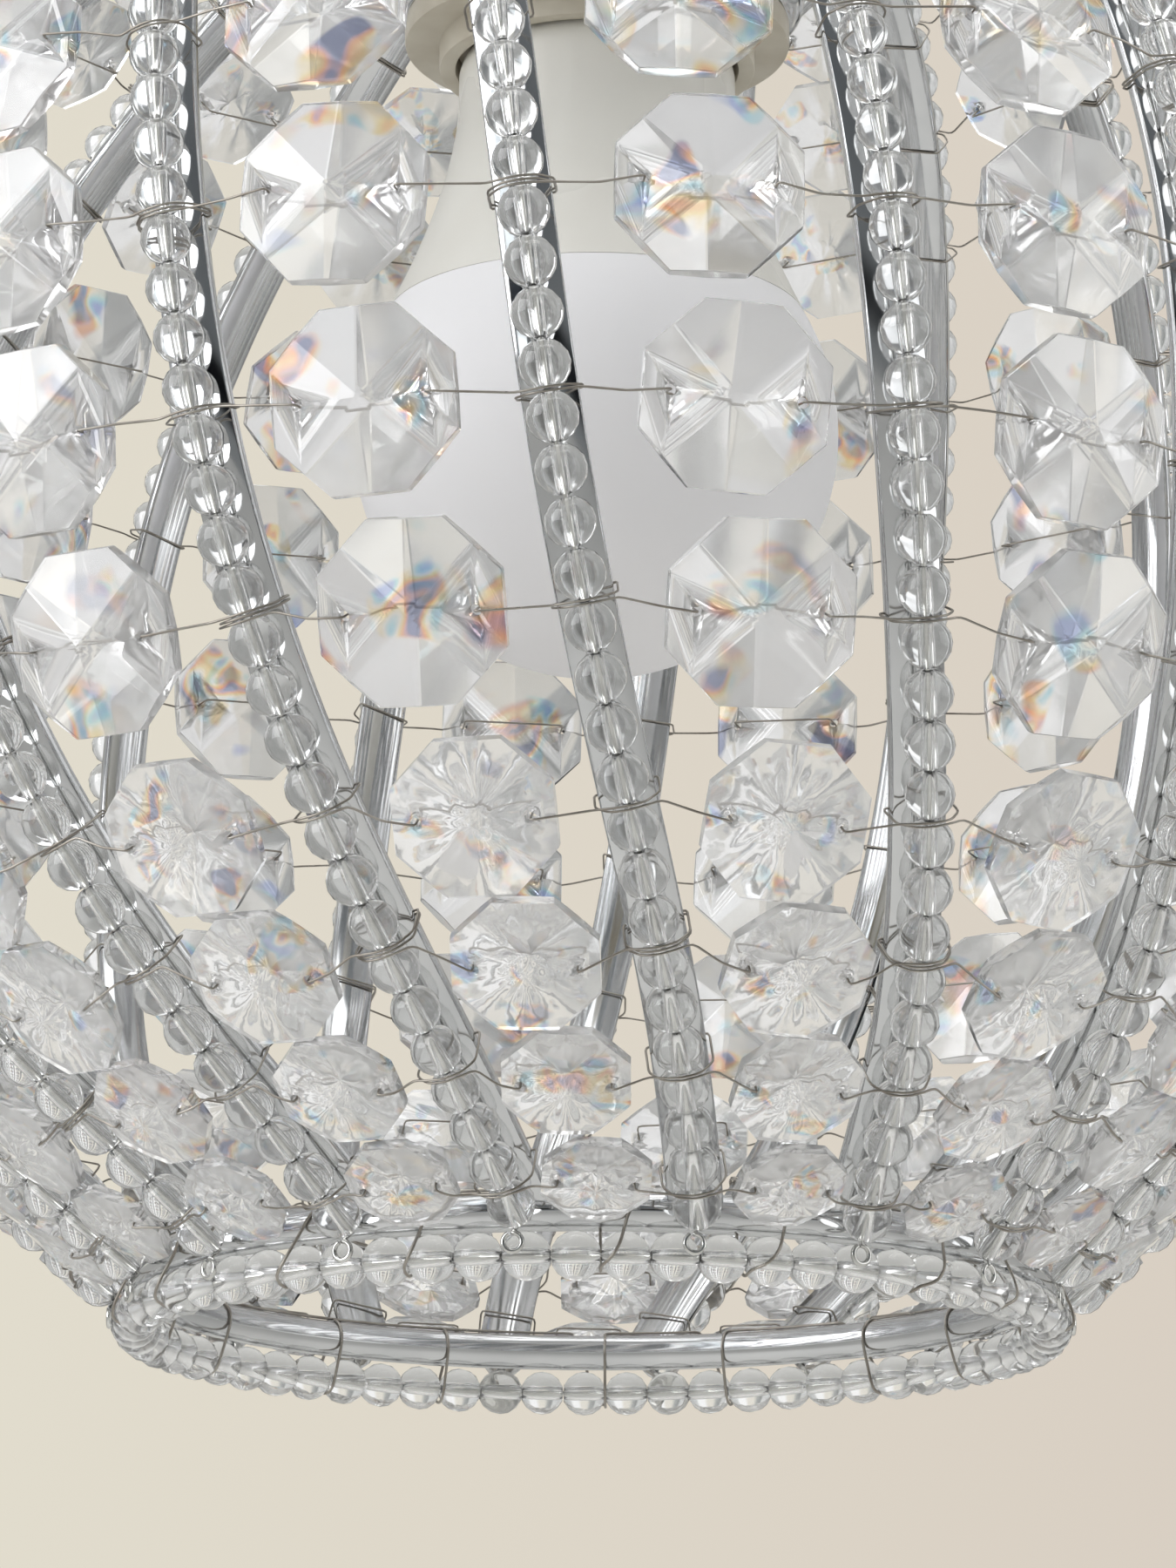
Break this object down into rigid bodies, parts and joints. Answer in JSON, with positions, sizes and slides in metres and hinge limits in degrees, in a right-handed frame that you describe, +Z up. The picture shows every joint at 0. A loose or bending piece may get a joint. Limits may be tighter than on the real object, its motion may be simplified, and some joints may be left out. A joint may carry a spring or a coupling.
{
  "type": "crystal globe pendant light",
  "caption": "Open globe of leaning chrome strips strung with glass beads and octagon crystals round a golf-ball lamp in a threaded holder.",
  "frame": {"origin": "mouth of the cord entry at the top of the cord grip, on the pendant's axis", "axes": "+Z up along the pendant's axis, out of the cord entry; -Y towards the picture's viewer; +X to the viewer's right"},
  "size_m": [0.1876, 0.187, 0.1869],
  "materials": {
    "chrome_plate": "polished chrome plate on steel",
    "bead_glass": "clear round glass beads",
    "crystal_glass": "clear faceted octagon crystals",
    "steel_wire": "fine drawn steel wire",
    "cream_plastic": "cream moulded plastic",
    "brass": "plain pressed brass",
    "socket_plastic": "dark moulded insulating plate",
    "opal_plastic": "frosted opal diffuser",
    "white_plastic": "glossy white housing",
    "nickel": "nickel plated cap",
    "black_plastic": "black cap insulator",
    "board": "white diode board"
  },
  "bodies": {
    "pendant": {"bottom_ring": "chrome_plate", "top_ring": "chrome_plate", "carrier_ring": "chrome_plate", "carrier_arms": "chrome_plate", "rib_strip_01": "chrome_plate", "rib_strip_02": "chrome_plate", "rib_strip_03": "chrome_plate", "rib_strip_04": "chrome_plate", "rib_strip_05": "chrome_plate", "rib_strip_06": "chrome_plate", "rib_strip_07": "chrome_plate", "rib_strip_08": "chrome_plate", "rib_strip_09": "chrome_plate", "rib_strip_10": "chrome_plate", "rib_strip_11": "chrome_plate", "rib_strip_12": "chrome_plate", "rib_strip_13": "chrome_plate", "rib_strip_14": "chrome_plate", "rib_strip_15": "chrome_plate", "rib_strip_16": "chrome_plate", "rib_strip_17": "chrome_plate", "rib_strip_18": "chrome_plate", "rib_beads_01_06": "bead_glass", "rib_beads_07_12": "bead_glass", "rib_beads_13_18": "bead_glass", "ring_beads": "bead_glass", "crystal_row_equator": "crystal_glass", "crystal_row_lower_1": "crystal_glass", "crystal_row_lower_2": "crystal_glass", "crystal_row_lower_3": "crystal_glass", "crystal_row_lower_4": "crystal_glass", "crystal_row_lower_5": "crystal_glass", "crystal_row_lower_6": "crystal_glass", "crystal_row_upper_1": "crystal_glass", "crystal_row_upper_2": "crystal_glass", "crystal_row_upper_3": "crystal_glass", "crystal_row_upper_4": "crystal_glass", "crystal_row_upper_5": "crystal_glass", "crystal_row_upper_6": "crystal_glass", "bead_string_wires": "steel_wire", "row_wires": "steel_wire", "rib_ties": "steel_wire", "ring_bead_wire": "steel_wire", "ring_binding_wire": "steel_wire", "holder_body": "cream_plastic", "holder_cap": "cream_plastic", "cord_grip": "cream_plastic", "socket_shell": "brass", "centre_contact": "brass", "terminal_screws": "brass", "socket_plate": "socket_plastic"},
    "lamp": {"lamp_diffuser": "opal_plastic", "lamp_housing": "white_plastic", "lamp_cap_shell": "nickel", "lamp_cap_insulator": "black_plastic", "lamp_tip": "nickel", "led_board": "board"},
    "shade_ring": {"shade_ring": "cream_plastic"}
  },
  "joints": [
    {"name": "lamp_unscrew", "type": "slide", "parent": "pendant", "child": "lamp", "axis": [0, 0, -1], "range_m": [0, 0.16]},
    {"name": "shade_ring_unscrew", "type": "slide", "parent": "pendant", "child": "shade_ring", "axis": [0, 0, -1], "range_m": [0, 0.006]}
  ]
}
